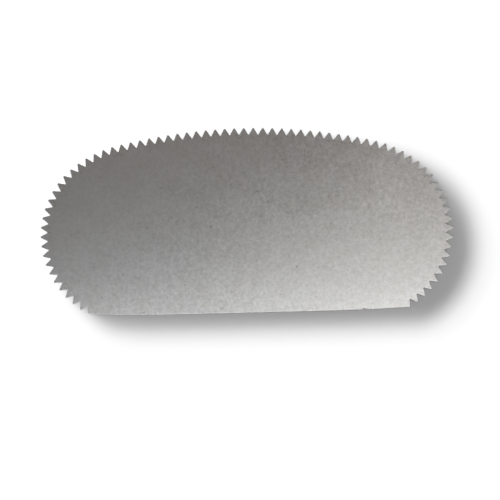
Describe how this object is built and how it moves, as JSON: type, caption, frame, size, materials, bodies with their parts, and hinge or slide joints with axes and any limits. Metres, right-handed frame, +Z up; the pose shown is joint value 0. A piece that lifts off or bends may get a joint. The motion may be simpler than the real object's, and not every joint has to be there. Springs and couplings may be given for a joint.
{
  "type": "serrated clay scraper",
  "caption": "Flat half-moon scraper of thin spring steel with a toothed rim and a nearly straight plain edge, for scoring, shaping and smoothing clay.",
  "frame": {"origin": "middle of the blade's outline, on its underside, with the blade lying flat", "axes": "+X along the blade's length, +Y from the straight edge towards the toothed top, +Z up through the sheet"},
  "size_m": [0.105, 0.047, 0.0005],
  "materials": {
    "spring_steel": "dull cold-rolled, uncoated"
  },
  "bodies": {
    "root": {"blade": "spring_steel"}
  },
  "joints": []
}
